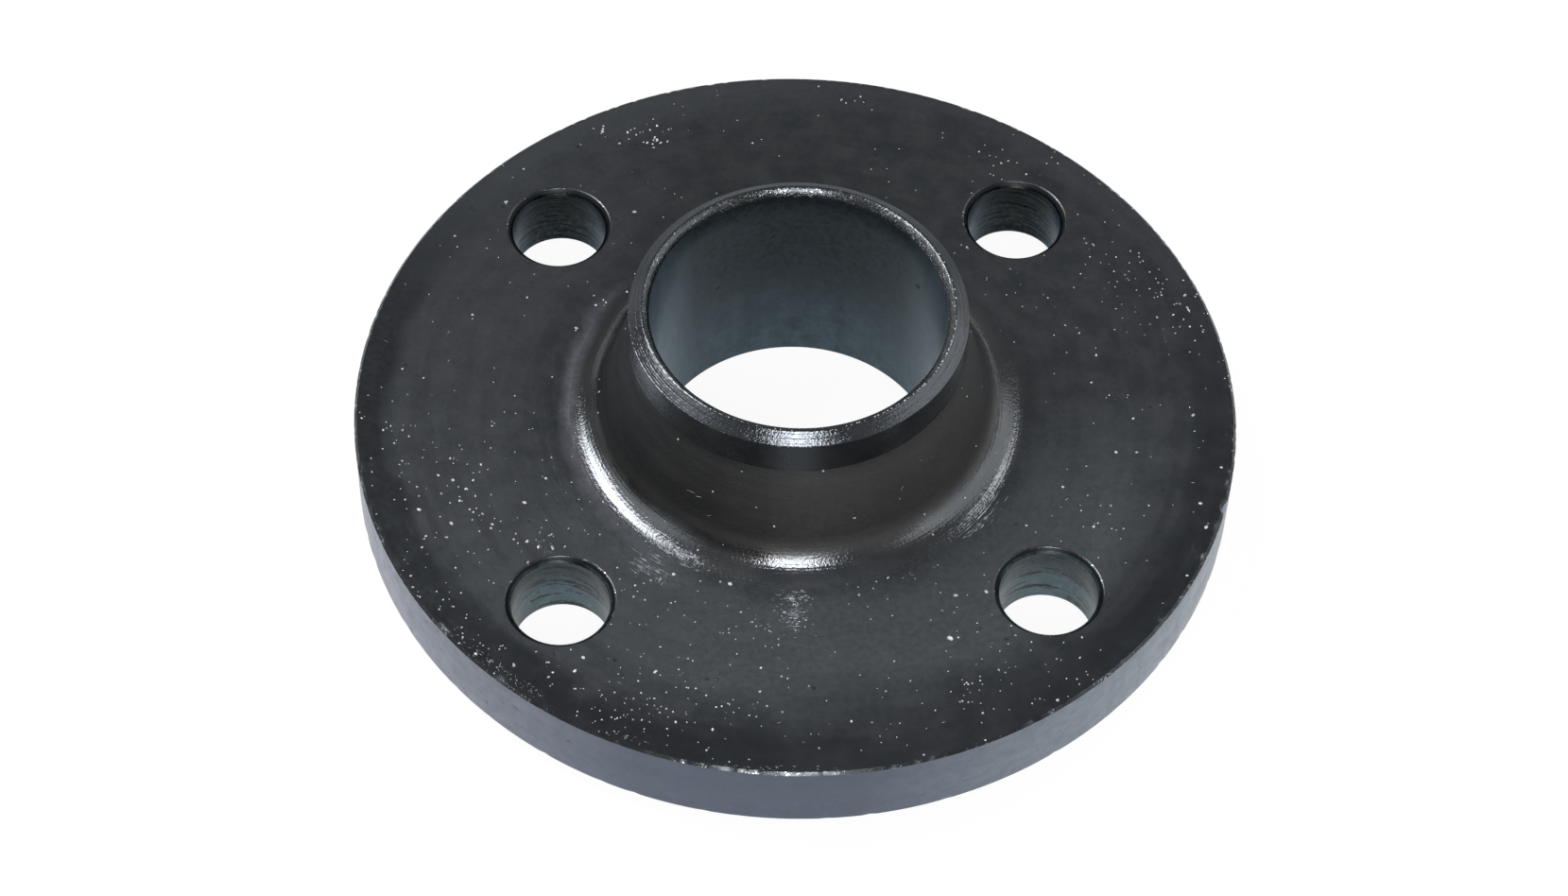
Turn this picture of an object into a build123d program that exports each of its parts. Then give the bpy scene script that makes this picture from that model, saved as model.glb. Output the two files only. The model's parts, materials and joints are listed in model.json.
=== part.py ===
from build123d import *
from math import radians, tan
import os

# A weld neck pipe flange for 50 mm nominal bore pipe, forged and then turned as one piece.
# The axis of the bore is Z. The sealing face lies on Z = 0 and the neck points up.
# All sizes are in millimetres, and the widths are given from the bore outwards.

# Bore
bore_diameter = 54.5
bore_mouth_edge_break = 0.8

# Neck: a short straight end where the pipe is welded, then a cone that widens down to the plate
overall_height = 46.8
weld_end_wall = 3.85
weld_end_straight_length = 7.0
neck_taper_width = 5.9
neck_root_fillet_radius = 8.0

# Weld preparation: a bevel outside, a narrow land at the tip, a chamfer inside
weld_bevel_angle = 37.5
weld_land_width = 0.3
weld_inner_chamfer_width = 1.25
weld_inner_chamfer_depth = 1.5

# Bolt holes, set clear of the neck so that a nut and a spanner fit beside it
bolt_hole_count = 4
bolt_hole_diameter = 18.0
bolt_hole_start_angle = 45.0
bolt_hole_edge_break = 1.0
neck_root_to_bolt_centre = 25.5

# Flange plate
plate_thickness = 15.0
bolt_centre_to_rim = 20.0
rim_edge_break = 0.5

# Raised sealing face under the plate, which ends just inside the bolt holes
raised_face_height = 3.0
raised_face_to_bolt_hole = 2.5
raised_face_edge_break = 0.4

# Radii worked out from the sizes above: weld end 31.1, neck root 37, bolt circle 62.5,
# flange 82.5 and raised face 51
bore_radius = bore_diameter / 2
weld_end_radius = bore_radius + weld_end_wall
neck_root_radius = weld_end_radius + neck_taper_width
bolt_circle_radius = neck_root_radius + neck_root_to_bolt_centre
flange_radius = bolt_circle_radius + bolt_centre_to_rim
bolt_hole_radius = bolt_hole_diameter / 2
raised_face_radius = bolt_circle_radius - bolt_hole_radius - raised_face_to_bolt_hole
land_inner_radius = bore_radius + weld_inner_chamfer_width
land_outer_radius = land_inner_radius + weld_land_width

# Heights worked out from the sizes above
plate_top = raised_face_height + plate_thickness
bevel_drop = (weld_end_radius - land_outer_radius) * tan(radians(weld_bevel_angle))
bevel_foot = overall_height - bevel_drop
cone_top = bevel_foot - weld_end_straight_length
chamfer_foot = overall_height - weld_inner_chamfer_depth

os.makedirs("parts", exist_ok=True)

with BuildPart() as flange:
    # Half section through the wall, on the right of the axis
    with BuildSketch(Plane.XZ) as section:
        with BuildLine():
            Polyline(
                (bore_radius, 0),
                (raised_face_radius, 0),
                (raised_face_radius, raised_face_height),
                (flange_radius, raised_face_height),
                (flange_radius, plate_top),
                (neck_root_radius, plate_top),
                (weld_end_radius, cone_top),
                (weld_end_radius, bevel_foot),
                (land_outer_radius, overall_height),
                (land_inner_radius, overall_height),
                (bore_radius, chamfer_foot),
                close=True,
            )
        make_face()
        # Fillet between the cone of the neck and the top of the plate
        neck_root = section.vertices().sort_by_distance((neck_root_radius, plate_top))[0]
        fillet(neck_root, neck_root_fillet_radius)
        # Edge breaks left by the lathe tool on the rim, the sealing face and the mouth of the bore
        rim_top = section.vertices().sort_by_distance((flange_radius, plate_top))[0]
        rim_bottom = section.vertices().sort_by_distance((flange_radius, raised_face_height))[0]
        chamfer([rim_top, rim_bottom], rim_edge_break)
        face_rim = section.vertices().sort_by_distance((raised_face_radius, 0))[0]
        chamfer(face_rim, raised_face_edge_break)
        bore_mouth = section.vertices().sort_by_distance((bore_radius, 0))[0]
        chamfer(bore_mouth, bore_mouth_edge_break)
    revolve(axis=Axis.Z)

    # Bolt holes, drilled right through the plate and deburred at both ends
    with PolarLocations(bolt_circle_radius, bolt_hole_count, start_angle=bolt_hole_start_angle):
        Hole(bolt_hole_radius)
    hole_mouths = flange.edges(Select.LAST).filter_by(GeomType.CIRCLE)
    chamfer(hole_mouths, bolt_hole_edge_break)

flange.part.label = "flange"
export_step(flange.part, "parts/flange.step")
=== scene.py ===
"""Looks of a weld neck pipe flange: black coated forged steel, turned all over, dusty and lightly nicked."""

from collections.abc import Callable
from dataclasses import dataclass, field
from enum import Enum, IntEnum
import json
import logging
import math
import random

import bmesh
import bpy
from mathutils import Matrix, Vector, noise


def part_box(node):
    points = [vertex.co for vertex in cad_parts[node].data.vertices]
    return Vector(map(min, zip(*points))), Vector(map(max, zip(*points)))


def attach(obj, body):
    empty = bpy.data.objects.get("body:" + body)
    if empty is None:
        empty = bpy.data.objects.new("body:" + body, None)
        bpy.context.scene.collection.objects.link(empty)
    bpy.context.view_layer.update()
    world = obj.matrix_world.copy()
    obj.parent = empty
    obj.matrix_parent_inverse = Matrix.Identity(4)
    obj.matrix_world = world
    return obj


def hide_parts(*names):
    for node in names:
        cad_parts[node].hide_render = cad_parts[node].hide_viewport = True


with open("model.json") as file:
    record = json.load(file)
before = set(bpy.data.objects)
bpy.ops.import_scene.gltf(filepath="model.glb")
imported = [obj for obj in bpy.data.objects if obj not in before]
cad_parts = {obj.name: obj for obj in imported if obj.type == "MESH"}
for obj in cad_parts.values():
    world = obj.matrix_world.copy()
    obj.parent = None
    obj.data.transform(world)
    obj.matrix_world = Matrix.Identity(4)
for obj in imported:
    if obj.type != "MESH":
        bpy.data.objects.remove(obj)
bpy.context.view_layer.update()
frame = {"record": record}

log = logging.getLogger("flange")

MM = 0.001
MICRON = 0.000001
BODY = "root"
CAD_NODE = "flange"
CREST_END = 126.0
CHAMFER_BULGE = 0.16

Colour = tuple[float, float, float]
Place = tuple[float, float]


class Zone(IntEnum):
    """Surfaces of the flange that have a finish of their own, in the order of the body's material slots."""

    PLATE_TOP = 0
    NECK = 1
    WELD_END = 2
    BEVEL = 3
    BORE = 4
    RIM = 5
    EDGE_BREAK = 6
    HOLE_MOUTH = 7
    HOLE_WALL = 8
    SEALING_FACE = 9
    INNER_CHAMFER = 10


class Ring(Enum):
    """Rings of the neck that carry the bright strokes painted as glints."""

    FILLET = "root fillet"
    BEVEL = "outer bevel"
    CREST = "rounded crest"
    INNER = "inner chamfer"


def direction(azimuth: float, elevation: float = 0.0) -> Vector:
    """Gives the unit vector that points at an azimuth and an elevation.

    Args:
        azimuth: degrees from +X, counter-clockwise seen from above.
        elevation: degrees above the horizon.

    Returns:
        The unit vector in the row frame.
    """
    turn = math.radians(azimuth)
    lift = math.radians(elevation)
    return Vector((math.cos(turn) * math.cos(lift), math.sin(turn) * math.cos(lift), math.sin(lift)))


def smooth_step(low: float, high: float, value: float) -> float:
    """Rises smoothly from 0 at low to 1 at high.

    Args:
        low: where the rise starts.
        high: where the rise ends.
        value: the place to read.

    Returns:
        A share from 0 to 1.
    """
    share = min(max((value - low) / (high - low), 0.0), 1.0)
    return share * share * (3.0 - 2.0 * share)


def straight(start: Place, end: Place, steps: int) -> list[Place]:
    """Divides a straight stretch of an outline, leaving its last point to the next stretch.

    Args:
        start: radius and height where it starts, in millimetres.
        end: radius and height where it ends.
        steps: number of equal parts.

    Returns:
        The points from start up to, but not including, end.
    """
    return [
        (start[0] + (end[0] - start[0]) * i / steps, start[1] + (end[1] - start[1]) * i / steps)
        for i in range(steps)
    ]


def link_object(name: str, bm: bmesh.types.BMesh) -> bpy.types.Object:
    """Turns a bmesh into an object at the origin of the row frame.

    Args:
        name: the piece's name.
        bm: the shape, which is freed.

    Returns:
        The new object, linked to the scene.
    """
    mesh = bpy.data.meshes.new(name)
    bm.to_mesh(mesh)
    bm.free()
    piece = bpy.data.objects.new(name, mesh)
    bpy.context.scene.collection.objects.link(piece)
    return piece


class Wiring:
    """Adds nodes to one node tree and joins their sockets."""

    def __init__(self, tree: bpy.types.NodeTree) -> None:
        """Keeps the tree that the nodes go into."""
        self.tree = tree

    def node(self, kind: str, **settings: object) -> bpy.types.Node:
        """Adds a node.

        Args:
            kind: the node's type name.
            **settings: properties to set on it.

        Returns:
            The new node.
        """
        new = self.tree.nodes.new(kind)
        for name, value in settings.items():
            setattr(new, name, value)
        return new

    def feed(self, socket: bpy.types.NodeSocket, value: object) -> None:
        """Joins a socket to an output, or sets its number or colour.

        Args:
            socket: the input to fill.
            value: an output socket, a number or a sequence of numbers.
        """
        if isinstance(value, bpy.types.NodeSocket):
            self.tree.links.new(value, socket)
        else:
            socket.default_value = value

    def math(self, operation: str, a: object, b: object = None, clamp: bool = False) -> bpy.types.NodeSocket:
        """Adds a Math node.

        Args:
            operation: the node's operation.
            a: first value or socket.
            b: second value or socket.
            clamp: keeps the result from 0 to 1.

        Returns:
            The result's socket.
        """
        new = self.node("ShaderNodeMath", operation=operation, use_clamp=clamp)
        self.feed(new.inputs[0], a)
        if b is not None:
            self.feed(new.inputs[1], b)
        return new.outputs[0]

    def span(self, value: object, low: float, high: float, to_low: float = 0.0, to_high: float = 1.0,
             ) -> bpy.types.NodeSocket:
        """Adds a Map Range node that rises smoothly and stays inside its limits.

        Args:
            value: the value or socket to read.
            low: the value that gives to_low.
            high: the value that gives to_high.
            to_low: result at low.
            to_high: result at high.

        Returns:
            The result's socket.
        """
        new = self.node("ShaderNodeMapRange", interpolation_type="SMOOTHSTEP")
        for socket, item in zip(new.inputs, (value, low, high, to_low, to_high)):
            self.feed(socket, item)
        return new.outputs["Result"]

    def mix(self, share: object, a: object, b: object) -> bpy.types.NodeSocket:
        """Adds a colour mix.

        Args:
            share: 0 gives a, 1 gives b.
            a: first colour or socket.
            b: second colour or socket.

        Returns:
            The mixed colour's socket.
        """
        new = self.node("ShaderNodeMix", data_type="RGBA", clamp_factor=True)
        self.feed(new.inputs["Factor"], share)
        for socket, item in zip((new.inputs[6], new.inputs[7]), (a, b)):
            self.feed(socket, (*item, 1.0) if isinstance(item, tuple) else item)
        return new.outputs[2]

    def noise(self, place: object, scale: object, detail: float = 2.0, roughness: float = 0.5, turn: object = None,
              ) -> bpy.types.NodeSocket:
        """Adds a Noise Texture.

        Args:
            place: the vector socket to read it at.
            scale: features per unit.
            detail: octaves.
            roughness: weight of the finer octaves.
            turn: an optional fourth coordinate.

        Returns:
            The noise value's socket.
        """
        new = self.node("ShaderNodeTexNoise", noise_dimensions="3D" if turn is None else "4D")
        self.feed(new.inputs["Vector"], place)
        self.feed(new.inputs["Scale"], scale)
        self.feed(new.inputs["Detail"], detail)
        self.feed(new.inputs["Roughness"], roughness)
        if turn is not None:
            self.feed(new.inputs["W"], turn)
        return new.outputs["Fac"]

    def group(self, tree: bpy.types.NodeTree, **values: object) -> bpy.types.Node:
        """Places a node group.

        Args:
            tree: the group.
            **values: its inputs, with underscores for spaces.

        Returns:
            The group node.
        """
        new = self.node("ShaderNodeGroup", node_tree=tree)
        for name, value in values.items():
            self.feed(new.inputs[name.replace("_", " ")], value)
        return new


class SurfaceEffects:
    """Node groups that more than one finish of the flange uses."""

    def __init__(self) -> None:
        """Builds each group once."""
        self.turning = self._turning_marks()
        self.grain = self._coat_grain()
        self.flecks = self._bare_flecks()
        self.patch = self._coat_patch()
        self.drill = self._drill_marks()
        self.level = self._level_blend()

    @staticmethod
    def _start(name: str, inputs: dict[str, float], outputs: tuple[str, ...]) -> tuple[Wiring, dict, dict]:
        """Makes an empty group with named number sockets.

        Args:
            name: the group's name.
            inputs: input names with their usual values.
            outputs: output names.

        Returns:
            The group's wiring, its input sockets by name and its output sockets by name.
        """
        tree = bpy.data.node_groups.new(name, "ShaderNodeTree")
        for label, usual in inputs.items():
            tree.interface.new_socket(label, in_out="INPUT", socket_type="NodeSocketFloat").default_value = usual
        for label in outputs:
            tree.interface.new_socket(label, in_out="OUTPUT", socket_type="NodeSocketFloat")
        wires = Wiring(tree)
        entry = wires.node("NodeGroupInput")
        leave = wires.node("NodeGroupOutput")
        return wires, dict(entry.outputs.items()), dict(leave.inputs.items())

    def _turning_marks(self) -> bpy.types.NodeTree:
        """Fine lines that the lathe tool leaves round the axis.

        Returns:
            The group. Lines Per Mm is how close the lines are and Breaks is how often they change along a turn.
            Ring Gain deepens them inside Ring From Mm, fading out at Ring To Mm.
        """
        wires, given, wanted = self._start(
            "turning_marks",
            {"Lines Per Mm": 4.0, "Breaks": 6.0, "Unevenness": 0.5, "Ring From Mm": 0.0, "Ring To Mm": 1.0,
             "Ring Gain": 0.0},
            ("Height", "Streaks"),
        )
        place = wires.node("ShaderNodeTexCoord").outputs["Object"]
        parts = wires.node("ShaderNodeSeparateXYZ")
        wires.feed(parts.inputs[0], place)
        x, y, z = parts.outputs
        radius = wires.math("SQRT", wires.math("ADD", wires.math("MULTIPLY", x, x), wires.math("MULTIPLY", y, y)))
        radius = wires.math("MAXIMUM", radius, MM)
        across = wires.math("MULTIPLY", given["Lines Per Mm"], 1.0 / MM)
        around = wires.node("ShaderNodeCombineXYZ")
        wires.feed(around.inputs[0], wires.math("MULTIPLY", wires.math("DIVIDE", x, radius), given["Breaks"]))
        wires.feed(around.inputs[1], wires.math("MULTIPLY", wires.math("DIVIDE", y, radius), given["Breaks"]))
        wires.feed(around.inputs[2], wires.math("MULTIPLY", radius, across))
        height = wires.math("MULTIPLY", z, across)
        fine = wires.noise(around.outputs[0], 1.0, 3.0, 0.6, height)
        broad = wires.noise(around.outputs[0], 0.22, 2.0, 0.5, wires.math("MULTIPLY", height, 1.0))
        mixed = wires.math("ADD", wires.math("MULTIPLY", fine, 0.6), wires.math("MULTIPLY", broad, 0.4))
        mixed = wires.span(mixed, 0.38, 0.62)
        reach = wires.math("DIVIDE", radius, MM)
        past = wires.node("ShaderNodeMapRange", interpolation_type="SMOOTHSTEP")
        for socket, item in zip(past.inputs, (reach, given["Ring From Mm"], given["Ring To Mm"], 1.0, 0.0)):
            wires.feed(socket, item)
        gain = wires.math("MULTIPLY", past.outputs["Result"], given["Ring Gain"])
        wires.feed(wanted["Height"], wires.math("MULTIPLY", mixed, wires.math("ADD", gain, 1.0)))
        patchy = wires.span(wires.noise(place, 140.0, 2.0), 0.35, 0.65)
        streaks = wires.span(broad, 0.4, 0.68)
        even = wires.math("SUBTRACT", 1.0, given["Unevenness"])
        kept = wires.math("ADD", even, wires.math("MULTIPLY", patchy, given["Unevenness"]))
        wires.feed(wanted["Streaks"], wires.math("MULTIPLY", streaks, kept))
        return wires.tree

    def _coat_grain(self) -> bpy.types.NodeTree:
        """Grain and cloudy patches of a thin black coat.

        Returns:
            The group. Grain Mm is the size of the grain and Cloud Mm the size of the patches.
        """
        wires, given, wanted = self._start(
            "coat_grain", {"Grain Mm": 0.3, "Cloud Mm": 6.0}, ("Height", "Cloud", "Pits")
        )
        place = wires.node("ShaderNodeTexCoord").outputs["Object"]
        grain_scale = wires.math("DIVIDE", 1.0 / MM, given["Grain Mm"])
        cloud_scale = wires.math("DIVIDE", 1.0 / MM, given["Cloud Mm"])
        wires.feed(wanted["Height"], wires.span(wires.noise(place, grain_scale, 2.0, 0.6), 0.32, 0.68))
        wires.feed(wanted["Cloud"], wires.span(wires.noise(place, cloud_scale, 4.0, 0.6), 0.3, 0.7))
        pits = wires.node("ShaderNodeTexVoronoi")
        wires.feed(pits.inputs["Vector"], place)
        wires.feed(pits.inputs["Scale"], wires.math("MULTIPLY", grain_scale, 0.22))
        near = wires.span(pits.outputs["Distance"], 0.05, 0.2, 1.0, 0.0)
        rare = wires.span(wires.noise(place, wires.math("MULTIPLY", cloud_scale, 2.0), 1.0), 0.56, 0.64)
        wires.feed(wanted["Pits"], wires.math("MULTIPLY", near, rare))
        return wires.tree

    def _bare_flecks(self) -> bpy.types.NodeTree:
        """Small places where the coat is knocked off and the steel shows.

        Returns:
            The group. Share rises from 0, none, to 1, nearly all.
        """
        wires, given, wanted = self._start("bare_flecks", {"Share": 0.2, "Fleck Mm": 0.5}, ("Mask",))
        place = wires.node("ShaderNodeTexCoord").outputs["Object"]
        scale = wires.math("DIVIDE", 1.0 / MM, given["Fleck Mm"])
        value = wires.noise(place, scale, 3.0, 0.65)
        gate = wires.noise(place, wires.math("MULTIPLY", scale, 0.12), 1.0)
        both = wires.math("ADD", wires.math("MULTIPLY", value, 0.7), wires.math("MULTIPLY", gate, 0.3))
        edge = wires.math("SUBTRACT", 0.68, wires.math("MULTIPLY", given["Share"], 0.3))
        above = wires.math("SUBTRACT", both, edge)
        wires.feed(wanted["Mask"], wires.span(above, 0.0, 0.03))
        return wires.tree

    def _level_blend(self) -> bpy.types.NodeTree:
        """Share that rises with height, for a coat that changes from the bottom of a surface to its top.

        Returns:
            The group. Share is 0 below Low Mm and 1 above High Mm.
        """
        wires, given, wanted = self._start("level_blend", {"Low Mm": 0.0, "High Mm": 40.0}, ("Share",))
        place = wires.node("ShaderNodeTexCoord").outputs["Object"]
        parts = wires.node("ShaderNodeSeparateXYZ")
        wires.feed(parts.inputs[0], place)
        ragged = wires.math("MULTIPLY", wires.math("SUBTRACT", wires.noise(place, 90.0, 2.0), 0.5), 2.0)
        height = wires.math("ADD", wires.math("DIVIDE", parts.outputs[2], MM), ragged)
        blend = wires.node("ShaderNodeMapRange", interpolation_type="SMOOTHSTEP")
        for socket, item in zip(blend.inputs, (height, given["Low Mm"], given["High Mm"], 0.0, 1.0)):
            wires.feed(socket, item)
        wires.feed(wanted["Share"], blend.outputs["Result"])
        return wires.tree

    def _drill_marks(self) -> bpy.types.NodeTree:
        """Rings that a drill leaves on the wall of a hole, a little tilted and broken up.

        Returns:
            The group. Rings Per Mm is how close the rings are, and Dark is where the coat stays in the grooves.
        """
        wires, given, wanted = self._start("drill_marks", {"Rings Per Mm": 1.0, "Tilt": 0.12}, ("Height", "Dark"))
        place = wires.node("ShaderNodeTexCoord").outputs["Object"]
        parts = wires.node("ShaderNodeSeparateXYZ")
        wires.feed(parts.inputs[0], place)
        x, y, z = parts.outputs
        leaning = wires.math("ADD", z, wires.math("MULTIPLY", wires.math("SUBTRACT", x, y), given["Tilt"]))
        stretched = wires.node("ShaderNodeCombineXYZ")
        wires.feed(stretched.inputs[0], wires.math("MULTIPLY", x, 0.09 / MM))
        wires.feed(stretched.inputs[1], wires.math("MULTIPLY", y, 0.09 / MM))
        rings = wires.math("MULTIPLY", given["Rings Per Mm"], 1.0 / MM)
        wires.feed(stretched.inputs[2], wires.math("MULTIPLY", leaning, rings))
        value = wires.noise(stretched.outputs[0], 1.0, 3.0, 0.62)
        wires.feed(wanted["Height"], wires.span(value, 0.36, 0.64))
        crumbs = wires.noise(place, 1400.0, 1.0)
        both = wires.math("ADD", wires.math("MULTIPLY", value, 0.8), wires.math("MULTIPLY", crumbs, 0.2))
        wires.feed(wanted["Dark"], wires.span(both, 0.53, 0.60))
        return wires.tree

    def _coat_patch(self) -> bpy.types.NodeTree:
        """Mask of a stretch of the plate on one side of the axis, with ragged edges.

        Returns:
            The group. Side X and Side Y point to the middle of the patch, which lies between Inner Mm and Outer Mm.
        """
        wires, given, wanted = self._start(
            "coat_patch",
            {"Side X": 0.0, "Side Y": -1.0, "Spread": 0.3, "Inner Mm": 40.0, "Outer Mm": 70.0, "Fade Mm": 8.0},
            ("Mask",),
        )
        place = wires.node("ShaderNodeTexCoord").outputs["Object"]
        parts = wires.node("ShaderNodeSeparateXYZ")
        wires.feed(parts.inputs[0], place)
        x, y, _ = parts.outputs
        radius = wires.math("SQRT", wires.math("ADD", wires.math("MULTIPLY", x, x), wires.math("MULTIPLY", y, y)))
        radius = wires.math("MAXIMUM", radius, MM)
        facing = wires.math(
            "ADD", wires.math("MULTIPLY", x, given["Side X"]), wires.math("MULTIPLY", y, given["Side Y"])
        )
        facing = wires.math("DIVIDE", facing, radius)
        beside = wires.math("DIVIDE", wires.math("SUBTRACT", facing, given["Spread"]), 0.5, clamp=True)
        reach = wires.math("DIVIDE", radius, MM)
        depth = wires.math("MINIMUM", wires.math("MULTIPLY", given["Fade Mm"], 3.0), 12.0)
        ragged = wires.math("MULTIPLY", wires.math("SUBTRACT", wires.noise(place, 60.0, 3.0), 0.5), depth)
        reach = wires.math("ADD", reach, ragged)
        start = wires.math("DIVIDE", wires.math("SUBTRACT", reach, given["Inner Mm"]), given["Fade Mm"], clamp=True)
        end = wires.math("DIVIDE", wires.math("SUBTRACT", given["Outer Mm"], reach), given["Fade Mm"], clamp=True)
        inside = wires.math("MULTIPLY", start, end)
        wires.feed(wanted["Mask"], wires.math("MULTIPLY", inside, beside))
        return wires.tree


@dataclass(frozen=True)
class ToneAndPaintedLightPatch:
    """A stretch of a surface whose colour, gloss and metal are changed: some are lighter or darker stretches, others
    are painted light, painted shade and painted reflections, marked where they are listed.
    """

    azimuth: float
    spread: float
    inner: float
    outer: float
    fade: float
    colour: Colour
    roughness: float = 0.0
    metal: float = 0.0


@dataclass(frozen=True)
class HighPart:
    """How a coat differs above a height on its surface. Heights are in millimetres."""

    low: float
    high: float
    colour: Colour
    roughness: float = 0.0
    metal: float = 0.0


@dataclass(frozen=True)
class DrillMarks:
    """Rings left by a drill: how close they are, how deep in microns, and how dark their grooves look."""

    rings_per_mm: float = 1.0
    depth: float = 20.0
    dark: float = 0.7


@dataclass(frozen=True)
class TurnedCoat:
    """A thin black coat over turned steel, as one surface of the flange shows it."""

    name: str
    colour: Colour
    cloud_colour: Colour
    roughness: float = 0.3
    roughness_cloud: float = 0.06
    ior: float = 1.8
    tint: Colour = (0.84, 0.92, 1.0)
    anisotropy: float = 0.5
    lines_per_mm: float = 4.0
    line_breaks: float = 6.0
    line_depth: float = 2.0
    unevenness: float = 0.5
    grain: float = 0.3
    grain_depth: float = 6.0
    cloud: float = 6.0
    blotch: float = 1.2
    blotch_share: float = 0.35
    pit_depth: float = 0.0
    ring: tuple[float, float, float] = (0.0, 1.0, 0.0)
    # Lighter or darker stretches, and stretches of painted light, painted shade and painted reflections.
    patches: tuple[ToneAndPaintedLightPatch, ...] = ()
    above: HighPart | None = None
    drilled: DrillMarks | None = None
    metal: float = 0.0
    streak: Colour | None = None
    streak_share: float = 0.5
    flecks: float = 0.0
    fleck: float = 0.5
    steel: Colour = (0.55, 0.56, 0.58)

    def material(self, effects: SurfaceEffects) -> bpy.types.Material:
        """Builds the finish.

        Args:
            effects: the shared node groups.

        Returns:
            The material. Depths in this class are in microns and sizes in millimetres.
        """
        finish = bpy.data.materials.new(self.name)
        finish.use_nodes = True
        wires = Wiring(finish.node_tree)
        shader = finish.node_tree.nodes["Principled BSDF"]
        marks = wires.group(effects.turning, Lines_Per_Mm=self.lines_per_mm, Breaks=self.line_breaks,
                            Unevenness=self.unevenness, Ring_From_Mm=self.ring[0], Ring_To_Mm=self.ring[1],
                            Ring_Gain=self.ring[2])
        grain = wires.group(effects.grain, Grain_Mm=self.grain, Cloud_Mm=self.cloud)
        colour = wires.mix(grain.outputs["Cloud"], self.colour, self.cloud_colour)
        blotches = wires.group(effects.grain, Grain_Mm=self.grain, Cloud_Mm=self.blotch)
        dark = tuple(part * 0.4 for part in self.colour)
        colour = wires.mix(wires.math("MULTIPLY", blotches.outputs["Cloud"], self.blotch_share), colour, dark)
        roughness = wires.math(
            "ADD", self.roughness, wires.math("MULTIPLY", grain.outputs["Cloud"], self.roughness_cloud)
        )
        roughness = wires.math(
            "SUBTRACT", roughness, wires.math("MULTIPLY", marks.outputs["Streaks"], self.roughness_cloud)
        )
        metal = None
        if self.above:
            share = wires.group(effects.level, Low_Mm=self.above.low, High_Mm=self.above.high).outputs["Share"]
            roughness = wires.math("ADD", roughness, wires.math("MULTIPLY", share, self.above.roughness))
            kept = wires.math("SUBTRACT", 1.0, wires.math("MULTIPLY", blotches.outputs["Cloud"], 0.3))
            colour = wires.mix(wires.math("MULTIPLY", share, kept), colour, self.above.colour)
            if self.above.metal:
                metal = wires.math("MULTIPLY", share, self.above.metal)
        # Each patch mixes in its colour, gloss and metal; the lists of patches mark which are painted light, painted
        # shade and painted reflections.
        for patch in self.patches:
            side = direction(patch.azimuth)
            mask = wires.group(effects.patch, Side_X=side.x, Side_Y=side.y, Spread=patch.spread,
                               Inner_Mm=patch.inner, Outer_Mm=patch.outer, Fade_Mm=patch.fade).outputs["Mask"]
            lit = wires.math("SUBTRACT", 1.0, wires.math("MULTIPLY", blotches.outputs["Cloud"], 0.4))
            colour = wires.mix(wires.math("MULTIPLY", mask, lit), colour, patch.colour)
            if patch.roughness:
                roughness = wires.math("ADD", roughness, wires.math("MULTIPLY", mask, patch.roughness))
            if patch.metal:
                part = wires.math("MULTIPLY", mask, patch.metal)
                metal = part if metal is None else wires.math("MAXIMUM", metal, part)
        if self.streak:
            colour = wires.mix(wires.math("MULTIPLY", marks.outputs["Streaks"], self.streak_share), colour, self.streak)
        height = wires.math(
            "ADD",
            wires.math("MULTIPLY", marks.outputs["Height"], self.line_depth * MICRON),
            wires.math("MULTIPLY", grain.outputs["Height"], self.grain_depth * MICRON),
        )
        if self.pit_depth:
            height = wires.math(
                "SUBTRACT", height, wires.math("MULTIPLY", grain.outputs["Pits"], self.pit_depth * MICRON)
            )
            colour = wires.mix(wires.math("MULTIPLY", grain.outputs["Pits"], 0.85), colour, (0.004, 0.004, 0.004))
        if self.drilled:
            rings = wires.group(effects.drill, Rings_Per_Mm=self.drilled.rings_per_mm).outputs
            height = wires.math("ADD", height, wires.math("MULTIPLY", rings["Height"], self.drilled.depth * MICRON))
            colour = wires.mix(wires.math("MULTIPLY", rings["Dark"], self.drilled.dark), colour, (0.003, 0.004, 0.005))
        if self.flecks:
            bare = wires.group(effects.flecks, Share=self.flecks, Fleck_Mm=self.fleck).outputs["Mask"]
            colour = wires.mix(bare, colour, self.steel)
            metal = bare if metal is None else wires.math("MAXIMUM", metal, bare)
        wires.feed(shader.inputs["Metallic"], self.metal if metal is None else metal)
        bump = wires.node("ShaderNodeBump")
        wires.feed(bump.inputs["Strength"], 1.0)
        wires.feed(bump.inputs["Distance"], 1.0)
        wires.feed(bump.inputs["Height"], height)
        wires.feed(shader.inputs["Base Color"], colour)
        wires.feed(shader.inputs["Roughness"], roughness)
        wires.feed(shader.inputs["Normal"], bump.outputs["Normal"])
        shader.inputs["IOR"].default_value = self.ior
        shader.inputs["Specular Tint"].default_value = (*self.tint, 1.0)
        if self.anisotropy:
            shader.inputs["Anisotropic"].default_value = self.anisotropy
            shader.inputs["Anisotropic Rotation"].default_value = 0.25
            wires.feed(shader.inputs["Tangent"], wires.node("ShaderNodeTangent", axis="Z").outputs[0])
        return finish


@dataclass(frozen=True)
class PaleMarks:
    """Dust, fluff, fine scratches and strokes painted as glints that stand out pale on the black coat."""

    name: str
    colour: Colour
    dull_colour: Colour
    roughness: float = 0.9

    def material(self) -> bpy.types.Material:
        """Builds the finish.

        Returns:
            The material, a little different from mark to mark.
        """
        finish = bpy.data.materials.new(self.name)
        finish.use_nodes = True
        wires = Wiring(finish.node_tree)
        shader = finish.node_tree.nodes["Principled BSDF"]
        place = wires.node("ShaderNodeTexCoord").outputs["Object"]
        tone = wires.span(wires.noise(place, 900.0, 1.0), 0.35, 0.65)
        wires.feed(shader.inputs["Base Color"], wires.mix(tone, self.colour, self.dull_colour))
        shader.inputs["Roughness"].default_value = self.roughness
        shader.inputs["Specular IOR Level"].default_value = 0.2
        return finish


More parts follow.
